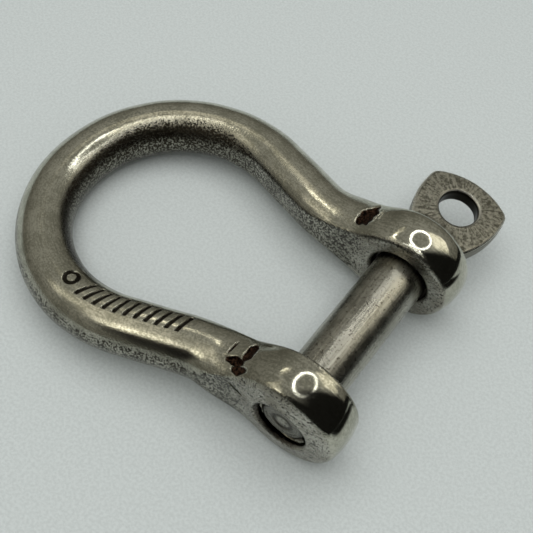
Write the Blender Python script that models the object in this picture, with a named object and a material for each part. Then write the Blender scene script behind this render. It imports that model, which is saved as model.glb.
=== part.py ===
"""Bow shackle with a screw pin, lying flat as it does on a table.

The forging is drawn in the plane of its bow, with the pin's axis along Y, the crown at -X and the
pin's head at +Y. An empty on the pin's axis then carries that drawing to the table: the crown's bar
and the fatter lugs all touch Z = 0, so the bow's plane leans down a little towards the crown.
"""

import math

import bmesh
import bpy

MM = 0.001

# Driving dimensions
PIN_DIAMETER = 6.0 * MM
BAR_DIAMETER = 6.1 * MM
JAW_GAP = 15.8 * MM
CROWN_RADIUS = 14.0 * MM  # centre line of the bar round the crown
CROWN_TO_PIN = 23.5 * MM  # centre of the crown's arc to the pin's axis
ARM_SLOPE = math.radians(17.5)  # how steeply the arms close in below the crown
ARM_BEND_RADIUS = 33.0 * MM  # centre line of the bend that turns an arm parallel to its lug
LUG_DIAMETER = 12.1 * MM
LUG_THICKNESS = 4.9 * MM
LUG_FACE_DIAMETER = 11.1 * MM

# Bores and the pin, whose sizes leave a running clearance all round. The thread is drawn as a plain
# cylinder between its crests and roots, and the shank is too fat for the tapped bore, so it stops there.
CLEARANCE_BORE = 6.7 * MM
CLEARANCE_CHAMFER = 0.3 * MM
TAPPED_BORE = 5.5 * MM
TAPPED_CHAMFER = 0.5 * MM
THREAD_DIAMETER = 4.9 * MM
TIP_DIAMETER = 4.5 * MM
TIP_RECESS = 0.35 * MM
UNDERCUT_DIAMETER = 4.3 * MM
UNDERCUT_LENGTH = 0.9 * MM
SHANK_CHAMFER = 0.3 * MM
SEAT_GAP = 0.3 * MM  # between the end of the shank and the tapped lug

# Head of the pin. Places along it are measured from the middle of the jaw
TAB_WIDTH = 9.8 * MM
TAB_START = 14.0 * MM
TAB_WIDEST = 19.3 * MM
TAB_CORNER = 22.0 * MM
TAB_END = 23.4 * MM
TAB_SIDE_RADIUS = 8.1 * MM
TAB_CORNER_RADIUS = 0.5 * MM
TAB_OFFSET = 0.6 * MM  # the tab was struck a little to one side of the shank
TAB_THICKNESS = 1.9 * MM
TAB_EDGE = 0.25 * MM
TAB_HOLE = 4.3 * MM
TAB_HOLE_CENTRE = 19.2 * MM
ROOT_END = 16.4 * MM  # where the round shank has flattened out into the tab
TAB_TURN = math.radians(10.0)  # where the tab stops when the pin is screwed home

# Neck, where an arm thins and flares into its lug. Places along it are measured from the pin's axis
ARM_OFFSET = 9.85 * MM  # centre line of an arm where it has turned parallel to the pin's lugs
NECK_START = -11.0 * MM
NECK_END = -5.0 * MM
NECK_FILLET = 8.0 * MM
NECK_INSET = 0.12 * MM  # how far an arm's sides stay inside the faces of its lug
ARM_ENDS = -3.9 * MM

# Facets
BAR_SIDES = 20
TURNED_SIDES = 36
LUG_STEPS = 6
ROOT_STEPS = 5
SIDE_STEPS = 7
CORNER_STEPS = 3
END_STEPS = 8
CROWN_STEPS = 26
BEND_STEPS = 8

# Worked out from the above
bar_radius = BAR_DIAMETER / 2
lug_radius = LUG_DIAMETER / 2
face_radius = LUG_FACE_DIAMETER / 2
lug_half = LUG_THICKNESS / 2
jaw_half = JAW_GAP / 2
lug_outer = jaw_half + LUG_THICKNESS
lug_middle = jaw_half + lug_half
resting_lean = math.asin((lug_radius - bar_radius) / (CROWN_TO_PIN + CROWN_RADIUS))
crown_reach = (CROWN_TO_PIN + CROWN_RADIUS) * math.cos(resting_lean) + bar_radius
middle_x = (lug_radius - crown_reach) / 2
middle_y = (TAB_END - CROWN_RADIUS - bar_radius) / 2


def steel(name, colour, roughness):
    material = bpy.data.materials.new(name)
    material.use_nodes = True
    shader = material.node_tree.nodes["Principled BSDF"]
    shader.inputs["Base Color"].default_value = (*colour, 1.0)
    shader.inputs["Metallic"].default_value = 1.0
    shader.inputs["Roughness"].default_value = roughness
    material.diffuse_color = (*colour, 1.0)
    return material


def place(name, mesh, parent, material=None):
    """A new object from a bmesh. Without a material it is a helper for a Boolean."""
    bmesh.ops.recalc_face_normals(mesh, faces=mesh.faces)
    data = bpy.data.meshes.new(name)
    mesh.to_mesh(data)
    mesh.free()
    piece = bpy.data.objects.new(name, data)
    bpy.context.scene.collection.objects.link(piece)
    piece.parent = parent
    if material:
        data.materials.append(material)
        data.shade_smooth()
        data.set_sharp_from_angle(angle=math.radians(35))
    else:
        piece.hide_render = True
        piece.display_type = "WIRE"
    return piece


def boolean(piece, operation, tool):
    modifier = piece.modifiers.new(f"{operation.lower()} {tool.name}", "BOOLEAN")
    modifier.operation = operation
    modifier.solver = "EXACT"
    modifier.object = tool


def loft(rings):
    """A closed body through rings that all have the same number of points."""
    mesh = bmesh.new()
    loops = [[mesh.verts.new(point) for point in ring] for ring in rings]
    for below, above in zip(loops, loops[1:]):
        for i in range(len(below)):
            j = (i + 1) % len(below)
            mesh.faces.new((below[i], below[j], above[j], above[i]))
    mesh.faces.new(loops[0])
    mesh.faces.new(reversed(loops[-1]))
    return mesh


def circle(radius, sides=TURNED_SIDES):
    """(first, second) coordinates of points evenly spaced round a circle."""
    angles = [2 * math.pi * i / sides for i in range(sides)]
    return [(radius * math.cos(a), radius * math.sin(a)) for a in angles]


def turned_ring(y, radius):
    return [(x, y, z) for x, z in circle(radius)]


def arm_line():
    """Half of the bar's centre line as (x, y, heading), from the crown's apex towards the +Y lug.

    The crown's arc runs ARM_SLOPE past its widest point, a straight stretch follows, and a wide bend
    turns the arm parallel to the lugs.
    """
    points = []
    sweep = math.pi / 2 + ARM_SLOPE
    for i in range(CROWN_STEPS + 1):
        turn = sweep * i / CROWN_STEPS
        x = -CROWN_TO_PIN - CROWN_RADIUS * math.cos(turn)
        points.append((x, CROWN_RADIUS * math.sin(turn), math.pi / 2 - turn))
    x, y, _ = points[-1]
    bend_drop = ARM_BEND_RADIUS * (1 - math.cos(ARM_SLOPE))
    straight = (y - ARM_OFFSET - bend_drop) / math.sin(ARM_SLOPE)
    x += straight * math.cos(ARM_SLOPE)
    y -= straight * math.sin(ARM_SLOPE)
    for i in range(BEND_STEPS + 1):
        left = ARM_SLOPE * (1 - i / BEND_STEPS)
        along = ARM_BEND_RADIUS * (math.sin(ARM_SLOPE) - math.sin(left))
        drop = ARM_BEND_RADIUS * (math.cos(left) - math.cos(ARM_SLOPE))
        points.append((x + along, y - drop, -left))
    return points


def neck_height(x):
    """Half height of the bar at x: a round fillet carries it up onto the lug's rim."""
    centre_z = bar_radius + NECK_FILLET
    centre_x = -math.sqrt((lug_radius + NECK_FILLET) ** 2 - centre_z**2)
    if x <= centre_x:
        return bar_radius
    return centre_z - math.sqrt(NECK_FILLET**2 - (x - centre_x) ** 2)


def arm_sections():
    """(x, y, heading, half thickness, half height) along half the bar, thinning down the neck."""
    line = [point for point in arm_line() if point[0] < NECK_END]
    x, y, heading = line[-1]
    steps = 3
    for i in range(1, steps + 1):
        done = i / steps
        line.append((x + (ARM_ENDS - x) * done, y + (ARM_OFFSET - y) * done, heading * (1 - done)))
    sections = []
    for x, y, heading in line:
        done = min(max((x - NECK_START) / (NECK_END - NECK_START), 0), 1)
        half_thickness = bar_radius + (lug_half - NECK_INSET - bar_radius) * done
        shift = (lug_middle - ARM_OFFSET) * done
        sections.append((x, y + shift, heading, half_thickness, neck_height(x)))
    return sections


def mirrored(section):
    x, y, heading, half_thickness, half_height = section
    return (x, -y, math.pi - heading, half_thickness, half_height)


def bar_ring(x, y, heading, half_thickness, half_height):
    ring = []
    for unit_across, unit_up in circle(1, BAR_SIDES):
        across = half_thickness * unit_across
        up = half_height * unit_up
        ring.append((x - across * math.sin(heading), y + across * math.cos(heading), up))
    return ring


def bow_bar():
    half = arm_sections()
    whole = [mirrored(section) for section in reversed(half[1:])] + half
    return loft([bar_ring(*section) for section in whole])


def lug_blank(side):
    """A ball cut off flat on both sides, on the pin's axis."""
    rings = []
    for i in range(LUG_STEPS + 1):
        across = LUG_THICKNESS * i / LUG_STEPS - lug_half
        crowning = (lug_radius - face_radius) * (across / lug_half) ** 2
        rings.append(turned_ring(side * lug_middle + across, lug_radius - crowning))
    return loft(rings)


def bore(side, diameter, chamfer):
    """A hole through one lug, chamfered at both faces."""
    radius = diameter / 2
    past = 1 * MM
    inner = side * jaw_half
    outer = side * lug_outer
    profile = [
        (inner - side * past, radius + chamfer),
        (inner, radius + chamfer),
        (inner + side * chamfer, radius),
        (outer - side * chamfer, radius),
        (outer, radius + chamfer),
        (outer + side * past, radius + chamfer),
    ]
    return loft([turned_ring(y, r) for y, r in profile])


def make_bow(parent):
    forged_steel = steel("forged_steel", (0.42, 0.40, 0.36), 0.3)
    body = place("bow_body", bow_bar(), parent, forged_steel)
    for side, label, diameter, chamfer in (
        (1, "plain", CLEARANCE_BORE, CLEARANCE_CHAMFER),
        (-1, "tapped", TAPPED_BORE, TAPPED_CHAMFER),
    ):
        boolean(body, "UNION", place(f"{label}_lug_blank", lug_blank(side), parent))
        boolean(body, "DIFFERENCE", place(f"{label}_bore", bore(side, diameter, chamfer), parent))


def shank_rings():
    """The turned part of the pin, from its tip to the far side of the plain lug."""
    tip = TIP_RECESS - lug_outer
    tip_chamfer = (THREAD_DIAMETER - TIP_DIAMETER) / 2
    shank_end = SEAT_GAP - jaw_half
    undercut = shank_end - UNDERCUT_LENGTH
    runout = (THREAD_DIAMETER - UNDERCUT_DIAMETER) / 2
    profile = [
        (tip, TIP_DIAMETER / 2),
        (tip + tip_chamfer, THREAD_DIAMETER / 2),
        (undercut, THREAD_DIAMETER / 2),
        (undercut + runout, UNDERCUT_DIAMETER / 2),
        (shank_end, UNDERCUT_DIAMETER / 2),
        (shank_end, PIN_DIAMETER / 2 - SHANK_CHAMFER),
        (shank_end + SHANK_CHAMFER, PIN_DIAMETER / 2),
        (lug_outer, PIN_DIAMETER / 2),
    ]
    return [turned_ring(y, radius) for y, radius in profile]


def root_rings():
    """Outside the plain lug the round shank flattens out and disappears into the tab."""
    rings = []
    for i in range(1, ROOT_STEPS + 1):
        done = i / ROOT_STEPS
        flat = PIN_DIAMETER / 2 * (1 - done) + 0.35 * TAB_THICKNESS * done
        wide = PIN_DIAMETER / 2 * (1 + 0.1 * done)
        y = lug_outer + (ROOT_END - lug_outer) * done
        rings.append([(wide * a, y, flat * b) for a, b in circle(1)])
    return rings


def arc(centre_x, centre_y, radius, start, end, steps):
    """Points (x, y) along an arc, both ends included, for angles counted from +X."""
    angles = [start + (end - start) * i / steps for i in range(steps + 1)]
    return [(centre_x + radius * math.cos(a), centre_y + radius * math.sin(a)) for a in angles]


def tab_outline():
    """A square with bulging sides that narrows towards the lug, with its two far corners rounded."""
    side_x = TAB_WIDTH / 2 - TAB_SIDE_RADIUS
    low = math.asin((TAB_START - TAB_WIDEST) / TAB_SIDE_RADIUS)
    high = math.asin((TAB_CORNER - TAB_WIDEST) / TAB_SIDE_RADIUS)
    side = arc(side_x, TAB_WIDEST, TAB_SIDE_RADIUS, low, high, SIDE_STEPS)

    corner_x = side[-1][0] - TAB_CORNER_RADIUS * math.cos(high)
    corner_y = side[-1][1] - TAB_CORNER_RADIUS * math.sin(high)
    end_rise = TAB_END - (corner_y + TAB_CORNER_RADIUS)
    end_radius = (corner_x**2 + end_rise**2) / (2 * end_rise)
    lean = math.asin(corner_x / end_radius)
    turn = math.pi / 2 - lean
    corner = arc(corner_x, corner_y, TAB_CORNER_RADIUS, high, turn, CORNER_STEPS)
    half = side + corner[1:]
    end = arc(0, TAB_END - end_radius, end_radius, turn, math.pi - turn, END_STEPS)
    return half + end[1:-1] + [(-x, y) for x, y in reversed(half)]


def tab_blank():
    """The tab's outline as a plate, with small bevels round both faces."""
    half = TAB_THICKNESS / 2
    rings = []
    for z, inset in ((-half, TAB_EDGE), (TAB_EDGE - half, 0), (half - TAB_EDGE, 0), (half, TAB_EDGE)):
        shrink = 1 - inset / (TAB_WIDTH / 2)
        ring = []
        for x, y in tab_outline():
            ring.append((TAB_OFFSET + x * shrink, TAB_WIDEST + (y - TAB_WIDEST) * shrink, z))
        rings.append(ring)
    return loft(rings)


def tab_hole():
    rim = [(TAB_OFFSET + x, TAB_HOLE_CENTRE + y) for x, y in circle(TAB_HOLE / 2)]
    return loft([[(x, y, z) for x, y in rim] for z in (-TAB_THICKNESS, TAB_THICKNESS)])


def make_pin(parent):
    turned_steel = steel("turned_steel", (0.47, 0.45, 0.42), 0.22)
    pin = place("screw_pin", loft(shank_rings() + root_rings()), parent, turned_steel)
    boolean(pin, "UNION", place("head_tab_blank", tab_blank(), parent))
    boolean(pin, "DIFFERENCE", place("head_hole", tab_hole(), parent))


def empty(name, parent=None):
    thing = bpy.data.objects.new(name, None)
    bpy.context.scene.collection.objects.link(thing)
    thing.parent = parent
    return thing


def main():
    for old in list(bpy.data.objects):
        bpy.data.objects.remove(old)
    pin_axis = empty("pin_axis")
    pin_axis.location = (-middle_x, -middle_y, lug_radius)
    pin_axis.rotation_euler = (0.0, -resting_lean, 0.0)
    screwed_home = empty("screwed_home", pin_axis)
    screwed_home.rotation_euler = (0.0, TAB_TURN, 0.0)
    make_bow(pin_axis)
    make_pin(screwed_home)


main()
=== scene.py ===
"""Looks of the bow shackle: the worn forging and its screw pin, on a pale table.

Each piece is a distance field in millimetres, below zero inside the piece. The origin is on the pin's
axis, in the middle of the jaw, with the crown towards -X and the pin's head towards +Y. A field is
meshed on a grid, its points are moved onto it, and the mesh is then placed in the CAD's frame.
"Near" is the tapped lug's side, with Y below zero, and "far" is the side of the pin's head.
"""

import math

import bmesh
import bpy
import numpy as np
from mathutils import Matrix, Vector


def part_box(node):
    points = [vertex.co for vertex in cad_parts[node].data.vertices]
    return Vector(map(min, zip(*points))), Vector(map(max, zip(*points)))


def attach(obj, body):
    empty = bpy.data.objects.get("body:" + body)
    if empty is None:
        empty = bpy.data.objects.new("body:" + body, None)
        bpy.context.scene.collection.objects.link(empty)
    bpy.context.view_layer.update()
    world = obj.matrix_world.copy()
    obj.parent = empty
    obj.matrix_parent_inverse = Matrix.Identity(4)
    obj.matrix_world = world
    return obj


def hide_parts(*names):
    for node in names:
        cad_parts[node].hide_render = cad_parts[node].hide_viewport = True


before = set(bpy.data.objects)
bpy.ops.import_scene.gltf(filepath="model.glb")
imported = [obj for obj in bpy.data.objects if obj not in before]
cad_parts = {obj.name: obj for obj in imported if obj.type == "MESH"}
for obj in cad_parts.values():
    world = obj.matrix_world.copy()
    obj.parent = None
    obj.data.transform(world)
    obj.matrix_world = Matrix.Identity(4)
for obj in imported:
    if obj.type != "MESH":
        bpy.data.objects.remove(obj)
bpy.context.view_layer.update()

MM = 0.001

# Bar, in millimetres. From the crown, its centre line is an arc, a straight stretch, a bend back and
# an end along X inside the lug
BAR_RADIUS = 3.05
CROWN_RADIUS = 14.0
CROWN_TO_PIN = 23.5
ARM_SLOPE = math.radians(17.5)
BEND_RADIUS = 33.0
ARM_OFFSET = 9.85
ARM_ENDS = -3.0

# How the bar grows towards a lug: wider and outwards in the neck, and taller
NECK_START = -11.0
NECK_END = -5.0
NECK_WIDENING = 1.2
NECK_SHIFT = 0.5
BAR_RISE_START = -9.5
BAR_RISE_LENGTH = 6.0
BAR_RISE = 1.1

# Lugs. Each is a ball, widest at its crest, cut flat on both sides and domed on the outer one
LUG_RADIUS = 6.05
LUG_HALF = 2.45
JAW_HALF = 7.9
LUG_OUTER = JAW_HALF + 2 * LUG_HALF
LUG_MIDDLE = JAW_HALF + LUG_HALF
FAR_CREST = 10.75
NEAR_CREST = 10.2
NEAR_LUG_LONGER = 1.15
LUG_BLEND = 1.6
LUG_DOME = 0.35
LUG_DOME_RADIUS = 5.2
LUG_DOME_SLOPE = 3.0
PLAIN_BORE = 3.35
PLAIN_CHAMFER = 0.3
TAPPED_BORE = 2.76
TAPPED_CHAMFER = 0.5
THREAD_PITCH = 1.0
THREAD_DEPTH = 0.3

# Flat sides of bar and lugs: how far off the centre line they start, how soft edges are, and how
# uneven the bar is
INNER_FLAT = 3.1
OUTER_FLAT = 3.3
BAR_EDGE = 0.13
LUG_INNER_EDGE = 0.25
LUG_OUTER_EDGE = 0.75
BORE_EDGE = 0.12
BAR_WAVES = 0.035

# The bow lies on its crown and its thicker lugs, so it leans by this
RESTING_LEAN = math.asin((LUG_RADIUS - BAR_RADIUS) / (CROWN_TO_PIN + CROWN_RADIUS))

# Pin, in millimetres
PIN_RADIUS = 3.0
PIN_TIP = 0.35 - LUG_OUTER
CREST_RADIUS = 2.62
UNDERCUT_RADIUS = 2.15
UNDERCUT_START = -8.5
SHANK_START = 0.3 - JAW_HALF

# The pin's end face and its thread
TIP_RADIUS = 2.3
TIP_THREAD_TURN = 0.5
TOOL_RING_PITCH = 0.42
TOOL_RING_DEPTH = 0.025
PIP_RADIUS = 0.55
PIP_HEIGHT = 0.12
TIP_GROOVE_RADIUS = 0.95
TIP_GROOVE_DEPTH = 0.10

# The pin's head: the tab's sides and end are arcs, and it stands a little off the shank's middle
HEAD_START = 12.0
ROOT_END = 16.4
TAB_START = 14.0
TAB_WIDEST = 19.8
TAB_HALF_WIDTH = 4.9
TAB_SIDE_RADIUS = 10.0
TAB_END = 23.4
TAB_END_RADIUS = 7.9
TAB_OFFSET = 0.6
TAB_HALF = 0.95
TAB_EDGE = 0.42
TAB_HOLE = 2.15
TAB_HOLE_CENTRE = 19.2
TAB_TURN = math.radians(10.0)
HEAD_WAVES = 0.012

# Where the bar's centre line changes from one stretch to the next, in the half with Y above zero
sweep = math.pi / 2 + ARM_SLOPE
slope_x = math.cos(ARM_SLOPE)
slope_y = math.sin(ARM_SLOPE)
arc_end_x = CROWN_RADIUS * slope_y - CROWN_TO_PIN
arc_end_y = CROWN_RADIUS * slope_x
straight = (arc_end_y - ARM_OFFSET - BEND_RADIUS * (1 - slope_x)) / slope_y
bend_x = arc_end_x + straight * slope_x + BEND_RADIUS * slope_y
bend_y = ARM_OFFSET + BEND_RADIUS


# ---- distance fields ----


def smooth_step(t):
    """0 below 0 and 1 above 1, with a smooth rise between them."""
    t = np.clip(t, 0.0, 1.0)
    return t * t * (3 - 2 * t)


def union(a, b, k):
    """Both shapes together, with a fillet about k wide where they meet."""
    h = np.clip(0.5 + 0.5 * (b - a) / k, 0.0, 1.0)
    return b + (a - b) * h - k * h * (1 - h)


def meet(a, b, k):
    """What both shapes hold, with an edge about k wide where they meet."""
    return -union(-a, -b, k)


def ellipse(a, b, radius_a, radius_b):
    """About the distance from an ellipse."""
    near = np.hypot(a / radius_a, b / radius_b)
    steep = np.hypot(a / radius_a**2, b / radius_b**2)
    return near * (near - 1) / np.maximum(steep, 1e-6)


def uneven(x, y, z, size, seed):
    """Slow waves with no direction of their own, mostly between -1 and 1."""
    total = 0.0
    for i in range(6):
        a = seed + 2.4 * i
        b = seed * 1.7 + 1.3 * i
        reach = 2 * math.pi / (size * (0.7 + 0.13 * i))
        dx = math.cos(a) * math.cos(b)
        dy = math.sin(a) * math.cos(b)
        dz = math.sin(b)
        total = total + np.sin(reach * (dx * x + dy * y + dz * z) + 5 * a)
    return total / 3.5


def bar_coordinates(x, side_y):
    """(distance outside the bar's centre line, distance along it from the crown's apex)."""
    crown_x = x + CROWN_TO_PIN
    turn = np.arctan2(side_y, -crown_x)
    from_x = x - arc_end_x
    from_y = side_y - arc_end_y
    run = from_x * slope_x - from_y * slope_y
    off_line = from_x * slope_y + from_y * slope_x
    off_arc = np.hypot(crown_x, side_y) - CROWN_RADIUS
    off_bend = BEND_RADIUS - np.hypot(x - bend_x, side_y - bend_y)
    off_end = side_y - ARM_OFFSET
    curved = np.where(x < bend_x, off_bend, off_end)
    off = np.where(turn <= sweep, off_arc, np.where(run < straight, off_line, curved))
    along = np.where(turn <= sweep, CROWN_RADIUS * turn, CROWN_RADIUS * sweep + run)
    return off, along


def bar_height(x):
    """Half height of the bar, which swells a little towards the lug."""
    return BAR_RADIUS + BAR_RISE * smooth_step((x - BAR_RISE_START) / BAR_RISE_LENGTH)


def thread(x, y, z):
    """0 on a thread's crests and 1 in its grooves."""
    turn = (y / THREAD_PITCH + np.arctan2(z, x) / (2 * math.pi)) % 1.0
    return np.clip(1.25 - 2.9 * np.abs(turn - 0.5), 0.0, 1.0)


def bow_field(x, y, z):
    """The forging without its marks: a bar round the bow, two lugs, flat sides and two bores."""
    side_y = np.abs(y)
    off, _ = bar_coordinates(x, side_y)
    neck = smooth_step((x - NECK_START) / (NECK_END - NECK_START))
    bar = ellipse(off - NECK_SHIFT * neck, z, BAR_RADIUS + NECK_WIDENING * neck, bar_height(x))
    bar = np.maximum(bar, x - ARM_ENDS)
    across = np.hypot(x, z)
    crest = np.where(y > 0, FAR_CREST, NEAR_CREST)
    ball = ellipse(across, side_y - crest, LUG_RADIUS, LUG_RADIUS + NEAR_LUG_LONGER * (y < 0))
    body = union(bar, ball, LUG_BLEND)

    # Flat sides: the inner one cuts in past the crown and again at the neck, the outer one at the neck
    flat_inner = INNER_FLAT - 0.42 * smooth_step((x + 29) / 10) - 0.73 * smooth_step((x + 13.5) / 8)
    flat_outer = OUTER_FLAT - 0.35 * smooth_step((x + 12) / 7)
    flat_outer = flat_outer + LUG_DOME * smooth_step((LUG_DOME_RADIUS - across) / LUG_DOME_SLOPE)
    lugs = smooth_step((x + 7.5) / 4)
    body = meet(body, -off - flat_inner, BAR_EDGE + LUG_INNER_EDGE * lugs)
    body = meet(body, off - flat_outer, BAR_EDGE + LUG_OUTER_EDGE * lugs)
    body = body + BAR_WAVES * uneven(x, y, z, 6.0, 1.0) * smooth_step((ARM_ENDS - x) / 6)

    # Bores: the plain one is chamfered at both ends, the tapped one is threaded between its chamfers
    plain = PLAIN_BORE + np.maximum(y - LUG_OUTER + PLAIN_CHAMFER, 0)
    plain = plain + np.maximum(JAW_HALF + PLAIN_CHAMFER - y, 0)
    tapped = TAPPED_BORE + THREAD_DEPTH * thread(x, y, z)
    flare = np.maximum(-y - LUG_OUTER - LUG_DOME + TAPPED_CHAMFER, 0)
    flare = flare + np.maximum(JAW_HALF + TAPPED_CHAMFER + y, 0)
    tapped = np.maximum(tapped, TAPPED_BORE + flare)
    return meet(body, np.where(y > 0, plain, tapped) - across, BORE_EDGE)


def bump_up(distance, soft):
    """1 inside a mark and 0 outside it, where distance is below zero inside."""
    return smooth_step(0.5 - distance / soft)


# Punched row, in millimetres along the bar from the crown's apex and off its centre line
STAMP_START = 19.8
STAMP_RING = 0.72
STAMP_FIRST_BAR = 2.2
STAMP_PITCH = 1.11
STAMP_BARS = 11
STAMP_OFF = -0.65
STAMP_HALF = 1.1
STAMP_STROKE = 0.2
STAMP_DEPTH = 0.22
STAMP_SLANT = 0.42
STAMP_EDGE = 0.14


def stamp(x, y):
    """Depth of the row of punched marks on top of the near arm: a ring, then slanted bars."""
    off, along = bar_coordinates(x, np.abs(y))
    v = off - STAMP_OFF
    mark = np.abs(np.hypot(along - STAMP_START, v) - STAMP_RING) - STAMP_STROKE
    for i in range(STAMP_BARS):
        u = along - STAMP_START - STAMP_FIRST_BAR - STAMP_PITCH * i + STAMP_SLANT * v
        bar = np.maximum(np.abs(u) - STAMP_STROKE, np.abs(v) - STAMP_HALF)
        mark = np.minimum(mark, bar)
    return STAMP_DEPTH * bump_up(mark, STAMP_EDGE) * (y < 0)


# Struck nicks on top of the arms: centre x, y, half size in x, half size in y, lean, depth
NICKS = [
    (-5.55, 10.35, 0.85, 1.45, 0.1, 0.42),
    (-4.35, 10.5, 0.08, 0.9, 0.12, 0.10),
    (-4.05, 10.6, 0.06, 0.7, 0.05, 0.07),
    (-6.3, -11.35, 1.05, 0.42, 0.0, 0.5),
    (-5.55, -9.95, 0.55, 1.15, 0.0, 0.34),
    (-7.4, -10.2, 0.16, 0.85, 0.05, 0.2),
    (-5.2, -12.0, 0.8, 0.45, 0.0, 0.24),
]
BROWN_DEPTH = 0.3  # a nick this deep is brown all over


def nicks(x, y):
    """Depth of the nicks, which have ragged edges. The narrow ones stay plain."""
    total = 0.0
    for centre_x, centre_y, half_x, half_y, lean, depth in NICKS:
        dx = x - centre_x - lean * (y - centre_y)
        dy = y - centre_y
        ragged = 0.22 * uneven(x, y, 0, 0.9, centre_x)
        near = np.hypot(dx / half_x, dy / half_y) + ragged * (half_x > 0.2)
        total = np.maximum(total, depth * smooth_step(1.75 - 1.4 * near))
    return total


# Thin groove across the near lug's shoulder: where it starts, and how far it runs along X and down
SCRATCH_X = -5.87
SCRATCH_Z = 1.96
SCRATCH_RUN = 1.3
SCRATCH_DROP = 1.0
SCRATCH_WIDTH = 0.13
SCRATCH_DEPTH = 0.16


def scratch(x, y, z):
    """Depth of the groove."""
    dx = x - SCRATCH_X
    dz = z - SCRATCH_Z
    share = np.clip((dx * SCRATCH_RUN - dz * SCRATCH_DROP) / (SCRATCH_RUN**2 + SCRATCH_DROP**2), 0, 1)
    away = np.hypot(dx - SCRATCH_RUN * share, dz + SCRATCH_DROP * share)
    return SCRATCH_DEPTH * smooth_step(1.3 - away / SCRATCH_WIDTH) * (y < -LUG_MIDDLE)


def marked_bow(x, y, z):
    """The forging with its marks."""
    marks = (z > 0) * np.maximum(stamp(x, y), nicks(x, y))
    return bow_field(x, y, z) + np.maximum(marks, scratch(x, y, z))


def cylinder(across, y, radius, low, high, edge):
    """A round bar along Y, from low to high."""
    return meet(across - radius, np.abs(y - (low + high) / 2) - (high - low) / 2, edge)


def pin_field(x, y, z):
    """The pin: shank, undercut, threaded end and the drilled tab it turns into."""
    across = np.hypot(x, z)
    shank = cylinder(across, y, PIN_RADIUS, SHANK_START, LUG_OUTER + 0.4, 0.25)
    core = cylinder(across, y, UNDERCUT_RADIUS, PIN_TIP + 0.5, 0.0, 0.1)

    # The turned end: faint rings left by the tool, round a small pip, and a chamfer at its rim
    rings = TOOL_RING_DEPTH * np.cos(2 * math.pi * across / TOOL_RING_PITCH)
    rings = rings + PIP_HEIGHT * smooth_step(1 - across / PIP_RADIUS)
    rings = rings - TIP_GROOVE_DEPTH * smooth_step(1 - np.abs(across - TIP_GROOVE_RADIUS) / 0.3)
    crest = CREST_RADIUS - THREAD_DEPTH * thread(x, y + TIP_THREAD_TURN, z)
    tip = np.maximum(across - crest, y - UNDERCUT_START)
    tip = meet(tip, PIN_TIP - rings - y, 0.1)
    tip = np.maximum(tip, (across - y + PIN_TIP - TIP_RADIUS) / math.sqrt(2))
    body = np.minimum(np.minimum(shank, core), tip)

    # Head: the shank flattens out into the drilled tab
    done = smooth_step((y - LUG_OUTER) / (ROOT_END - LUG_OUTER + 0.6))
    thick = PIN_RADIUS * (1 - done) + 0.35 * TAB_HALF * done
    root = ellipse(x, z, PIN_RADIUS * (1 + 0.1 * done), thick)
    root = np.maximum(root, np.abs(y - 0.5 * (HEAD_START + ROOT_END)) - 0.5 * (ROOT_END - HEAD_START))
    tab_x = x - TAB_OFFSET
    side_x = np.abs(tab_x) + TAB_SIDE_RADIUS - TAB_HALF_WIDTH
    outline = np.hypot(side_x, y - TAB_WIDEST) - TAB_SIDE_RADIUS
    end = np.hypot(tab_x, y - TAB_END + TAB_END_RADIUS) - TAB_END_RADIUS
    outline = meet(outline, end, 0.35)
    outline = meet(outline, TAB_START - y, 0.6)
    tab = meet(outline, np.abs(z) - TAB_HALF, TAB_EDGE)
    hole = TAB_HOLE - np.hypot(tab_x, y - TAB_HOLE_CENTRE)
    head = union(tab, root, 0.5)
    head = meet(head, hole, 0.5)
    head = head + HEAD_WAVES * uneven(x, y, z, 2.2, 3.0)
    return np.minimum(body, np.where(y > HEAD_START, head, np.maximum(head, HEAD_START - y)))


# ---- meshes ----


def surface_net(field, low, high, step):
    """Points and quads where the field crosses zero, one point in each cell that it crosses."""
    low = np.array(low, float)
    axes = [np.arange(a, b + step, step) for a, b in zip(low, high)]
    values = field(*np.meshgrid(*axes, indexing="ij"))
    inside = values < 0
    corners = [(i, j, k) for i in (0, 1) for j in (0, 1) for k in (0, 1)]
    size = [n - 1 for n in values.shape]
    count = np.zeros(size, np.int8)
    for i, j, k in corners:
        count += inside[i : i + size[0], j : j + size[1], k : k + size[2]]
    active = (count > 0) & (count < 8)
    cells = np.argwhere(active)
    index = np.full(size, -1, np.int64)
    index[active] = np.arange(len(cells))
    total = np.zeros((len(cells), 3))
    crossings = np.zeros(len(cells))
    for axis in range(3):
        unit = np.eye(3, dtype=int)[axis]
        for corner in corners:
            if corner[axis]:
                continue
            start = cells + corner
            a = values[tuple(start.T)]
            b = values[tuple((start + unit).T)]
            cross = (a < 0) != (b < 0)
            share = np.where(cross, a / np.where(cross, a - b, 1.0), 0.0)
            total += cross[:, None] * (start + share[:, None] * unit)
            crossings += cross
    points = low + step * total / crossings[:, None]
    quads = []
    for axis in range(3):
        e, e_b, e_c = np.roll(np.eye(3, dtype=int), -axis, axis=0)
        here = [slice(None)] * 3
        there = [slice(None)] * 3
        here[axis] = slice(0, -1)
        there[axis] = slice(1, None)
        cross = inside[tuple(here)] != inside[tuple(there)]
        start = np.argwhere(cross)
        solid = inside[tuple(start.T)]
        ring = [index[tuple((start - d).T)] for d in (0 * e, e_b, e_b + e_c, e_c)]
        quad = np.stack(ring, axis=1)
        quad[~solid] = quad[~solid][:, ::-1]
        quads.append(quad)
    return points, np.concatenate(quads)


def slope_of(field, points, reach=0.02):
    """The field's gradient at each point."""
    slope = np.empty_like(points)
    for axis in range(3):
        step = reach * np.eye(3)[axis]
        ahead = field(*(points + step).T)
        behind = field(*(points - step).T)
        slope[:, axis] = (ahead - behind) / (2 * reach)
    return slope


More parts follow.
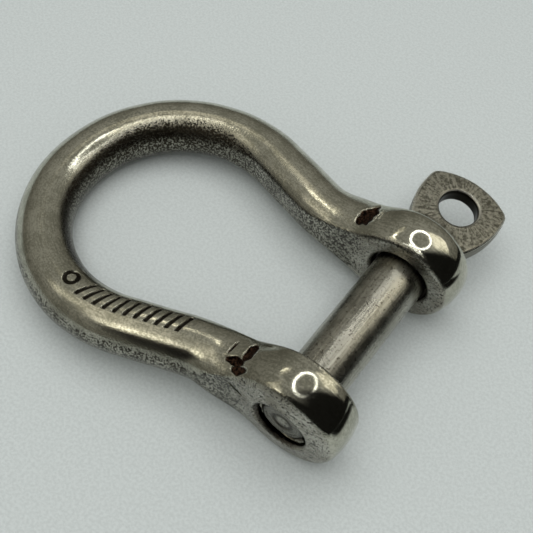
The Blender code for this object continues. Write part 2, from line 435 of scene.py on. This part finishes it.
def settle(points, field, rounds=3, most=0.15):
    """Moves each point along the gradient onto the field's zero."""
    for _ in range(rounds):
        slope = slope_of(field, points)
        value = field(*points.T)
        steep = np.maximum((slope**2).sum(axis=1), 0.2)
        points = points - np.clip(value / steep, -most, most)[:, None] * slope
    return points


def relax(points, quads, field, rounds=2):
    """Evens out the spacing of the points along the surface."""
    a = quads.ravel()
    b = np.roll(quads, -1, axis=1).ravel()
    degree = np.bincount(a, minlength=len(points)) + np.bincount(b, minlength=len(points))
    for _ in range(rounds):
        mean = np.empty_like(points)
        for axis in range(3):
            mean[:, axis] = np.bincount(a, points[b, axis], len(points))
            mean[:, axis] += np.bincount(b, points[a, axis], len(points))
        move = mean / degree[:, None] - points
        normal = slope_of(field, points)
        normal /= np.linalg.norm(normal, axis=1, keepdims=True) + 1e-9
        move -= (move * normal).sum(axis=1, keepdims=True) * normal
        points = settle(points + 0.5 * move, field, rounds=1)
    return points


def as_bmesh(points, quads):
    mesh = bmesh.new()
    verts = [mesh.verts.new(p) for p in points]
    for quad in quads.tolist():
        mesh.faces.new([verts[i] for i in quad])
    mesh.verts.index_update()
    return mesh


def skin(field, low, high, step):
    """The field's surface as evenly spaced points and quads."""
    points, quads = surface_net(field, low, high, step)
    return relax(settle(points, field), quads, field), quads


def finish_piece(name, mesh, field, place, features):
    """Moves a bmesh's points onto the field and makes the object.

    features(points, normals) gives the attributes that its material reads.
    """
    data = bpy.data.meshes.new(name)
    mesh.to_mesh(data)
    mesh.free()
    points = np.empty(len(data.vertices) * 3)
    data.vertices.foreach_get("co", points)
    points = settle(points.reshape(-1, 3), field, rounds=4)
    normals = slope_of(field, points)
    normals /= np.linalg.norm(normals, axis=1, keepdims=True) + 1e-9
    data.vertices.foreach_set("co", (points * MM).ravel())
    data.update()
    data.shade_smooth()
    data.normals_split_custom_set_from_vertices(normals.tolist())
    for label, values in features(points, normals).items():
        attribute = data.attributes.new(label, "FLOAT", "POINT")
        attribute.data.foreach_set("value", values.astype(np.float32))
    piece = bpy.data.objects.new(name, data)
    bpy.context.scene.collection.objects.link(piece)
    piece.matrix_world = place
    return piece


def bow_features(points, normals):
    """Where the forging is pitted, worn, brown, dark in its marks or painted with shade, each from 0 to
    1, and places on the bar.
    """
    x, y, z = points.T
    side_y = np.abs(y)
    off, along = bar_coordinates(x, side_y)
    across = np.hypot(x, z)
    up = normals[:, 2]
    steep = 1 - np.abs(up)

    # The crown is pitted nearly to its top on the inside, more so on its far half, and the arms only
    # on their flanks
    crown = smooth_step((-20 - x) / 8)
    inner = smooth_step((0.6 - off) / 2)
    start = 0.36 - crown * (0.14 + 0.14 * inner) - 0.18 * inner * smooth_step((y - 1) / 6) * (x < -16)
    flank = smooth_step((steep - start) / 0.34)
    # Painted shade: a dark band on the crown's inside, between its highlight and its pitted flank
    painted_shade_band = smooth_step((0.82 - up) / 0.2) * (1 - 0.7 * smooth_step((0.55 - up) / 0.3))

    # Painted shade: a dark line along the edge where an arm's top turns down into its flat inner side
    crease_shade = smooth_step(1.4 - np.abs(up - 0.42) / 0.17) * (off < -1) * smooth_step((1.0 - x) / 2)
    crease_shade = 0.9 * crease_shade * (1 - crown)

    # A lug has a polished crown round its middle and worn faces on both sides
    near_lug = smooth_step((x + 6.5) / 2.5)
    lug_crown = near_lug * smooth_step((LUG_HALF - 0.1 - np.abs(side_y - LUG_MIDDLE)) / 0.5)
    face = near_lug * (1 - lug_crown)
    mouth = np.where(y > 0, PLAIN_BORE + 0.25, TAPPED_BORE + 0.35)
    # Painted shade inside the bores
    bore_shade = smooth_step((mouth - across) / 0.2) * (side_y > JAW_HALF - 0.2)
    marks = np.where(z > 0, stamp(x, y) / STAMP_DEPTH, 0)
    marks = np.maximum(marks, scratch(x, y, z) / SCRATCH_DEPTH)
    dents = np.where(z > 0, nicks(x, y) / BROWN_DEPTH, 0)
    return {
        "pit": np.clip(flank * (1 - near_lug) + 0.8 * face, 0, 1),
        # The punched marks and the groove, which the material paints almost black
        "dark_marks": np.clip(marks, 0, 1),
        "rust": np.clip(dents, 0, 1),
        "bore_shade": bore_shade,
        "lug": lug_crown,
        "face": face,
        "rubbed": crown * smooth_step((up - 0.72) / 0.15),
        # "low" is painted shade: the crown's dark band and the dark line along the arms' inner edge
        "low": np.maximum(crown * smooth_step(-off / 1.2) * painted_shade_band, crease_shade),
        "along": along,
        "around": BAR_RADIUS * np.arctan2(z, off),
    }


SCORE_RADIUS = 2.5  # "turn" is in millimetres at this distance from the middle of the tab's hole


def pin_features(points, normals):
    """Where the pin's head, its edges with their painted highlight and its painted shade are, each from
    0 to 1, and places round the hole.
    """
    x, y, z = points.T
    across = np.hypot(x, z)
    level = np.abs(normals[:, 2])
    tab = smooth_step((y - 13.2) / 1.2)
    from_hole_x = x - TAB_OFFSET
    from_hole_y = y - TAB_HOLE_CENTRE
    from_hole = np.hypot(from_hole_x, from_hole_y)
    end = y < UNDERCUT_START + 0.5
    groove = smooth_step(1 - np.abs(across - 1.0) / 0.35) + smooth_step((across - 1.9) / 0.4)
    return {
        "tab": tab,
        "face": tab * smooth_step((level - 0.9) / 0.09),
        # Painted shade on the wall of the tab's hole
        "hole": smooth_step((TAB_HOLE + 0.2 - from_hole) / 0.15) * (y > TAB_START),
        # Painted shade on the tab's upright side walls
        "side_shade": tab * smooth_step((0.5 - level) / 0.3),
        # Painted highlight along the tab's rounded edges
        "edge_highlight": tab * smooth_step(2.0 - 8 * np.abs(level - 0.74)),
        # Painted shade on the pin's end and thread inside the tapped lug, darker in its groove and
        # towards the hole wall
        "end_shade": end * np.clip(0.55 * smooth_step((across - 0.55) / 0.2) + 0.6 * groove, 0, 1),
        "turn": np.arctan2(from_hole_y, from_hole_x) * SCORE_RADIUS,
        "reach": from_hole,
    }


# The jaw's middle on the pin's axis. The lugs reach the bow's end towards +X and its lowest level
bow_low, bow_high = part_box("bow_body")
axis_place = Vector(
    (
        bow_high.x - LUG_RADIUS * MM,
        (bow_low.y + bow_high.y) / 2,
        bow_low.z + LUG_RADIUS * MM,
    )
)
bow_place = Matrix.Translation(axis_place) @ Matrix.Rotation(-RESTING_LEAN, 4, "Y")
pin_place = bow_place @ Matrix.Rotation(TAB_TURN, 4, "Y")

# Grid steps, and how far the grid reaches past the piece
BOW_STEP = 0.22
PIN_STEP = 0.125
MARGIN = 0.5


# Where the marks are, with some room round them: the punched row along and off the bar, the nicks
# along X and off the middle
STAMP_ALONG = (18, 36)
STAMP_ACROSS = (-2.2, 0.9)
NICKS_X = (-8.0, -3.4)
NICKS_Y = 8.4


def between(value, limits):
    return (value > limits[0]) & (value < limits[1])


def make_bow():
    reach = CROWN_TO_PIN + CROWN_RADIUS + BAR_RADIUS + MARGIN
    wide = CROWN_RADIUS + BAR_RADIUS + MARGIN
    tall = LUG_RADIUS + MARGIN
    points, quads = skin(bow_field, (-reach, -wide, -tall), (tall, wide, tall), BOW_STEP)
    mesh = as_bmesh(points, quads)

    # Smaller quads for the marks
    x, y, z = points.T
    off, along = bar_coordinates(x, np.abs(y))
    stamped = (y < 0) & (z > 0) & between(along, STAMP_ALONG) & between(off, STAMP_ACROSS)
    struck = (z > 0) & between(x, NICKS_X) & (np.abs(y) > NICKS_Y)
    marked = stamped | struck
    edges = [e for e in mesh.edges if marked[e.verts[0].index] and marked[e.verts[1].index]]
    bmesh.ops.subdivide_edges(mesh, edges=edges, cuts=2, use_grid_fill=True)
    bow = finish_piece("forged_bow", mesh, marked_bow, bow_place, bow_features)
    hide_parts("bow_body")
    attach(bow, "bow")
    return bow


def make_pin():
    low = (-TAB_HALF_WIDTH - MARGIN, PIN_TIP - MARGIN, -PIN_RADIUS - MARGIN)
    high = (TAB_HALF_WIDTH + TAB_OFFSET + MARGIN, TAB_END + MARGIN, PIN_RADIUS + MARGIN)
    mesh = as_bmesh(*skin(pin_field, low, high, PIN_STEP))
    pin = finish_piece("turned_pin", mesh, pin_field, pin_place, pin_features)
    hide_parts("screw_pin")
    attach(pin, "pin")
    return pin


bow = make_bow()
pin = make_pin()


# ---- materials ----


# How deep a bump is whose height goes from 0 to 1
BUMP_DEPTH = 0.06 * MM


class Nodes:
    """Short names for adding shader nodes and joining them."""

    def __init__(self, tree):
        self.tree = tree

    def add(self, kind, inputs=None, **settings):
        node = self.tree.nodes.new(kind)
        for key, value in settings.items():
            setattr(node, key, value)
        for key, value in (inputs or {}).items():
            socket = node.inputs[key]
            if isinstance(value, bpy.types.NodeSocket):
                self.tree.links.new(value, socket)
            else:
                socket.default_value = value
        return node

    def math(self, operation, a, b):
        return self.add("ShaderNodeMath", {0: a, 1: b}, operation=operation).outputs[0]

    def plus(self, a, b, share):
        """a + share * b"""
        return self.math("ADD", a, self.math("MULTIPLY", b, share))

    def average(self, a, b, share=0.5):
        """(1 - share) * a + share * b"""
        return self.plus(self.math("MULTIPLY", a, 1.0 - share), b, share)

    def ramp(self, value, low, high, to_low=0.0, to_high=1.0):
        inputs = {"Value": value, "From Min": low, "From Max": high, "To Min": to_low, "To Max": to_high}
        node = self.add("ShaderNodeMapRange", inputs, interpolation_type="SMOOTHSTEP")
        return node.outputs[0]

    def mix(self, factor, a, b):
        node = self.add("ShaderNodeMix", data_type="RGBA")
        for socket, value in zip((node.inputs[0], node.inputs[6], node.inputs[7]), (factor, a, b)):
            if isinstance(value, bpy.types.NodeSocket):
                self.tree.links.new(value, socket)
            elif isinstance(value, tuple):
                socket.default_value = (*value, 1.0)
            else:
                socket.default_value = value
        return node.outputs[2]

    def attribute(self, name):
        return self.add("ShaderNodeAttribute", attribute_name=name).outputs["Fac"]

    def noise(self, where, scale, detail, roughness):
        inputs = {"Vector": where, "Scale": scale, "Detail": detail, "Roughness": roughness}
        return self.add("ShaderNodeTexNoise", inputs).outputs["Fac"]

    def scaled(self, where, scale):
        inputs = {"Vector": where, "Scale": scale}
        return self.add("ShaderNodeMapping", inputs).outputs[0]

    def bump(self, height):
        inputs = {"Height": height, "Strength": 1.0, "Distance": BUMP_DEPTH}
        return self.add("ShaderNodeBump", inputs).outputs[0]


def new_material(name):
    material = bpy.data.materials.new(name)
    material.use_nodes = True
    nodes = Nodes(material.node_tree)
    shader = material.node_tree.nodes["Principled BSDF"]
    where = nodes.add("ShaderNodeTexCoord").outputs["Object"]
    return material, nodes, shader, where


def forged_steel():
    """Tarnished steel, brushed along the bar, pitted on its flanks and brown in the nicks, with painted
    shade in the bores, along the arms' inner edge and in a band on the crown's inside.
    """
    material, n, shader, where = new_material("forged_steel_worn")
    link = material.node_tree.links.new
    pit = n.attribute("pit")
    dark_marks = n.attribute("dark_marks")
    rust = n.attribute("rust")
    bore_shade = n.attribute("bore_shade")
    face = n.attribute("face")
    low = n.attribute("low")
    lug = n.attribute("lug")
    bar_place = {"X": n.attribute("along"), "Y": n.attribute("around")}
    on_bar = n.add("ShaderNodeCombineXYZ", bar_place).outputs[0]

    cloud = n.noise(where, 420.0, 4.0, 0.6)
    grain = n.noise(where, 4300.0, 3.0, 0.6)
    fine = n.noise(where, 9000.0, 2.0, 0.6)
    brushed = n.noise(n.scaled(on_bar, (0.9, 7.0, 1.0)), 1.0, 4.0, 0.65)

    # Pits: the grain's high spots, more of them where "pit" is high and where "low" paints shade
    spots = n.plus(grain, n.math("SUBTRACT", pit, 1.0), 0.34)
    pits = n.ramp(n.plus(spots, low, 0.07), 0.47, 0.54)

    tone = n.plus(n.average(cloud, brushed), n.math("SUBTRACT", grain, 0.5), 0.6)
    clean = n.mix(n.ramp(tone, 0.38, 0.62), (0.33, 0.325, 0.262), (0.54, 0.53, 0.45))
    dull = n.mix(n.ramp(cloud, 0.32, 0.68), (0.25, 0.243, 0.20), (0.43, 0.42, 0.355))
    worn = n.mix(n.ramp(tone, 0.4, 0.6), (0.24, 0.222, 0.18), (0.50, 0.49, 0.43))
    dull = n.mix(face, dull, worn)
    colour = n.mix(n.ramp(pit, 0.2, 0.9), clean, dull)
    # Painted shade: the crown's dark band and the dark line along the arms' inner edge
    colour = n.mix(n.math("MULTIPLY", low, 0.85), colour, (0.035, 0.032, 0.025))
    colour = n.mix(pits, colour, (0.035, 0.03, 0.022))
    # Painted shade inside the bores
    colour = n.mix(bore_shade, colour, (0.07, 0.06, 0.048))
    brown = n.mix(n.ramp(grain, 0.42, 0.62), (0.006, 0.004, 0.003), (0.075, 0.042, 0.028))
    colour = n.mix(n.ramp(rust, 0.1, 0.55), colour, brown)
    # The punched marks and the groove are painted almost black
    colour = n.mix(n.ramp(dark_marks, 0.12, 0.7), colour, (0.022, 0.019, 0.015))
    link(colour, shader.inputs["Base Color"])

    rough = n.ramp(tone, 0.38, 0.62, 0.21, 0.14)
    rough = n.plus(rough, lug, -0.09)
    rough = n.plus(rough, n.attribute("rubbed"), -0.05)
    rough = n.plus(rough, face, 0.06)
    rough = n.plus(rough, n.math("MAXIMUM", rust, dark_marks), 0.3)
    link(rough, shader.inputs["Roughness"])
    shader.inputs["Metallic"].default_value = 1.0

    height = n.math("MULTIPLY", n.plus(grain, fine, 0.4), pit)
    height = n.plus(height, pits, -0.7)
    height = n.plus(height, n.noise(where, 1500.0, 2.0, 0.5), 0.08)
    height = n.plus(height, brushed, 0.07)
    height = n.plus(height, n.math("MULTIPLY", grain, n.math("SUBTRACT", 1.0, lug)), 0.16)
    height = n.plus(height, n.math("MULTIPLY", rust, grain), 2.0)
    link(n.bump(height), shader.inputs["Normal"])
    return material


def turned_steel():
    """Turned steel, drawn along the shank, duller and scored round the hole on the head, with painted
    shade in the hole, on the head's sides and on the threaded end, and a painted highlight along the
    head's edges.
    """
    material, n, shader, where = new_material("turned_steel_worn")
    link = material.node_tree.links.new
    tab = n.attribute("tab")
    face = n.attribute("face")
    around_hole = {"X": n.attribute("turn"), "Y": n.attribute("reach")}
    radial = n.add("ShaderNodeCombineXYZ", around_hole).outputs[0]
    cloud = n.noise(where, 500.0, 4.0, 0.6)
    drawn = n.noise(n.scaled(where, (5200.0, 240.0, 5200.0)), 1.0, 3.0, 0.6)
    turned = n.noise(n.scaled(where, (200.0, 9000.0, 200.0)), 1.0, 2.0, 0.5)
    grit = n.noise(where, 3600.0, 3.0, 0.65)
    scores = n.noise(n.scaled(radial, (5.0, 0.7, 1.0)), 1.0, 3.0, 0.6)
    tone = n.average(cloud, drawn, 0.6)
    clean = n.mix(n.ramp(tone, 0.38, 0.62), (0.25, 0.243, 0.205), (0.43, 0.42, 0.365))
    clean = n.mix(n.ramp(grit, 0.58, 0.66), clean, (0.09, 0.08, 0.065))
    marks = n.average(grit, scores)
    dull = n.mix(n.ramp(marks, 0.40, 0.58), (0.09, 0.087, 0.068), (0.32, 0.312, 0.262))
    colour = n.mix(face, clean, dull)
    # Painted shade on the tab's upright side walls
    colour = n.mix(n.attribute("side_shade"), colour, (0.17, 0.16, 0.13))
    edge_highlight = n.attribute("edge_highlight")
    # Painted highlight along the tab's rounded edges
    colour = n.mix(edge_highlight, colour, (0.80, 0.79, 0.72))
    # Painted shade on the wall of the tab's hole
    colour = n.mix(n.attribute("hole"), colour, (0.016, 0.014, 0.010))
    # Painted shade on the pin's end and thread inside the tapped lug
    colour = n.mix(n.attribute("end_shade"), colour, (0.06, 0.055, 0.045))
    link(colour, shader.inputs["Base Color"])
    rough = n.plus(n.ramp(cloud, 0.3, 0.75, 0.24, 0.32), n.math("SUBTRACT", tab, edge_highlight), 0.10)
    link(rough, shader.inputs["Roughness"])
    shader.inputs["Metallic"].default_value = 1.0
    round_part = n.math("SUBTRACT", 1.0, tab)
    lines = n.plus(n.math("MULTIPLY", drawn, 0.3), turned, 0.12)
    height = n.plus(n.math("MULTIPLY", lines, round_part), marks, face)
    link(n.bump(height), shader.inputs["Normal"])
    return material


bow.data.materials.append(forged_steel())
pin.data.materials.append(turned_steel())


# ---- table, light and camera ----


TABLE_HALF = 1.5
TABLE_DROP = 0.02 * MM  # keeps the table just clear of what stands on it


def make_table():
    data = bpy.data.meshes.new("table")
    corners = [(x * TABLE_HALF, y * TABLE_HALF, 0) for x, y in ((-1, -1), (1, -1), (1, 1), (-1, 1))]
    data.from_pydata(corners, [], [(0, 1, 2, 3)])
    table = bpy.data.objects.new("table", data)
    table.location.z = -TABLE_DROP
    bpy.context.scene.collection.objects.link(table)
    material, n, shader, where = new_material("pale_table")
    speckle = n.ramp(n.noise(where, 3200.0, 3.0, 0.7), 0.35, 0.65)
    shade = n.mix(speckle, (0.475, 0.507, 0.493), (0.54, 0.575, 0.56))
    material.node_tree.links.new(shade, shader.inputs["Base Color"])
    shader.inputs["Roughness"].default_value = 0.8
    shader.inputs["Specular IOR Level"].default_value = 0.0
    data.materials.append(material)


CAMERA_PLACE = Vector((33.15, -47.87, 89.03)) * MM
CAMERA_TARGET = Vector((5.03, -1.49, 4.0)) * MM
CAMERA_ROLL = math.radians(6.3)
CAMERA_LENS = 64.1


def make_camera():
    """The photo's viewing angle."""
    data = bpy.data.cameras.new("camera")
    data.lens = CAMERA_LENS
    data.sensor_width = 36.0
    data.clip_start = 0.005
    camera = bpy.data.objects.new("camera", data)
    bpy.context.scene.collection.objects.link(camera)
    look = (CAMERA_TARGET - CAMERA_PLACE).to_track_quat("-Z", "Y").to_matrix().to_4x4()
    roll = Matrix.Rotation(CAMERA_ROLL, 4, "Z")
    camera.matrix_world = Matrix.Translation(CAMERA_PLACE) @ look @ roll
    bpy.context.scene.camera = camera


def glow_material(name, colour, strength, soft):
    """A glow that fades to nothing over the share soft of the width and height at each edge."""
    material = bpy.data.materials.new(name)
    material.use_nodes = True
    tree = material.node_tree
    tree.nodes.clear()
    n = Nodes(tree)
    glow = n.add("ShaderNodeEmission", {"Color": (*colour, 1.0), "Strength": strength})
    output = n.add("ShaderNodeOutputMaterial")
    if not soft:
        tree.links.new(glow.outputs[0], output.inputs["Surface"])
        return material
    where = n.add("ShaderNodeTexCoord").outputs["Generated"]
    split = n.add("ShaderNodeSeparateXYZ", {0: where})
    fade_x = n.ramp(n.math("PINGPONG", split.outputs[0], 0.5), 0.0, soft)
    fade_y = n.ramp(n.math("PINGPONG", split.outputs[1], 0.5), 0.0, soft)
    clear = n.add("ShaderNodeBsdfTransparent")
    blend = n.add("ShaderNodeMixShader", {0: n.math("MULTIPLY", fade_x, fade_y)})
    tree.links.new(clear.outputs[0], blend.inputs[1])
    tree.links.new(glow.outputs[0], blend.inputs[2])
    tree.links.new(blend.outputs[0], output.inputs["Surface"])
    return material


def only_reflected(name, data, place):
    """Puts a lamp or card in the scene that shows in reflections and nowhere else."""
    thing = bpy.data.objects.new(name, data)
    bpy.context.scene.collection.objects.link(thing)
    thing.matrix_world = place
    for ray in ("camera", "diffuse", "transmission", "volume_scatter", "shadow"):
        setattr(thing, f"visible_{ray}", False)


def card(name, left, right, low, high, depth, colour, strength, soft, place=None):
    """A flat card for the steel to reflect, in millimetres.

    It stands depth in front of the camera, and left, right, low and high are measured to the right
    of and above the camera's line of sight. soft is the share of it that fades out at each edge.
    With a place, all this is in that frame instead of the camera's.
    """
    data = bpy.data.meshes.new(name)
    corners = [(left, low), (right, low), (right, high), (left, high)]
    data.from_pydata([(x * MM, y * MM, -depth * MM) for x, y in corners], [], [(0, 1, 2, 3)])
    data.materials.append(glow_material(name, colour, strength, soft))
    only_reflected(name, data, place or bpy.context.scene.camera.matrix_world)


RING_SIDES = 96


def ring_lamp(name, centre, radius, width, lean, colour, strength):
    """A glowing ring in the camera's frame, leaning so that it faces the lugs, in millimetres."""
    data = bpy.data.meshes.new(name)
    points = []
    faces = []
    for i in range(RING_SIDES):
        a = 2 * math.pi * i / RING_SIDES
        for r in (radius - width / 2, radius + width / 2):
            points.append((r * math.cos(a) * MM, r * math.sin(a) * MM, 0.0))
        j = (i + 1) % RING_SIDES
        faces.append((2 * i, 2 * i + 1, 2 * j + 1, 2 * j))
    data.from_pydata(points, [], faces)
    data.materials.append(glow_material(name, colour, strength, 0))
    place = Matrix.Translation(Vector(centre) * MM) @ Matrix.Rotation(lean, 4, "X")
    only_reflected(name, data, bpy.context.scene.camera.matrix_world @ place)


def disc_lamp(name, size, energy, place):
    """A soft lamp that the steel doesn't reflect."""
    data = bpy.data.lights.new(name, "AREA")
    data.shape = "DISK"
    data.size = size
    data.energy = energy
    lamp = bpy.data.objects.new(name, data)
    lamp.matrix_world = place
    lamp.visible_glossy = False
    lamp.visible_camera = False
    bpy.context.scene.collection.objects.link(lamp)


WARM = (1.0, 0.95, 0.80)
DARK = (0.010, 0.010, 0.009)
DARK_WALL_X = 90 * MM

# The cards in front of the camera: name, left, right, low, high, depth, colour, strength, soft
CARDS = [
    ("left_panel", -66, -14, -12, 60, 52.8, WARM, 0.8, 0.35),
    ("left_window", -50, -22, -12, 12, 52.4, WARM, 3.6, 0.4),
    ("right_panel", 38, 150, 16, 80, 52.8, WARM, 1.5, 0.2),
    ("crown_window", -19, -7, 33, 46, 75.0, WARM, 4.5, 0.3),
    ("side_window", -90, -38, 18, 46, 52.6, WARM, 1.0, 0.3),
    ("high_window", -48, -8, 72, 135, 52.7, WARM, 0.8, 0.3),
    ("dark_below", -62, 170, -150, 0, 51.8, DARK, 1.0, 0.08),
    ("dark_right", -20, 200, -30, 20, 51.6, DARK, 1.0, 0.2),
    ("dark_far", 140, 900, -300, 20, 51.4, DARK, 1.0, 0.04),
]


def make_light():
    """The room's own light, what the steel reflects, and two lamps."""
    world = bpy.data.worlds.new("room")
    world.use_nodes = True
    bpy.context.scene.world = world
    n = Nodes(world.node_tree)

    # What the steel reflects is darker low down, what lights the table is even
    up = n.add("ShaderNodeSeparateXYZ", {0: n.add("ShaderNodeTexCoord").outputs["Generated"]})
    walls = n.mix(n.ramp(up.outputs["Z"], 0.0, 0.8), (0.17, 0.165, 0.14), (0.34, 0.335, 0.30))
    diffuse = n.add("ShaderNodeLightPath").outputs["Is Diffuse Ray"]
    room = n.mix(diffuse, walls, (0.43, 0.438, 0.434))
    world.node_tree.links.new(room, world.node_tree.nodes["Background"].inputs["Color"])

    ring_lamp(
        "ring_lamp",
        centre=(40.0, 78.0, -4.0),
        radius=41.0,
        width=7.5,
        lean=math.radians(-40),
        colour=(1.0, 1.0, 0.97),
        strength=5.5,
    )
    for row in CARDS:
        card(*row)
    card("dark_floor", 40, 92, -14, 26, -0.15, DARK, 1.0, 0.15, Matrix.Identity(4))

    # Upright across the table at DARK_WALL_X, with its width along Y
    upright = Matrix(((0, 0, 1, DARK_WALL_X), (1, 0, 0, 0), (0, 1, 0, 0), (0, 0, 0, 1)))
    card("dark_wall", -60, 150, -1, 18, 0, DARK, 1.0, 0.04, upright)

    disc_lamp("overhead", size=0.3, energy=0.47, place=Matrix.Translation((0.0, 0.01, 0.25)))
    front = bpy.context.scene.camera.matrix_world.copy()
    front.translation = CAMERA_TARGET + (CAMERA_PLACE - CAMERA_TARGET) * 3
    disc_lamp("front", size=0.1, energy=0.09, place=front)


make_table()
make_camera()
make_light()
bpy.context.scene.view_settings.view_transform = "Standard"
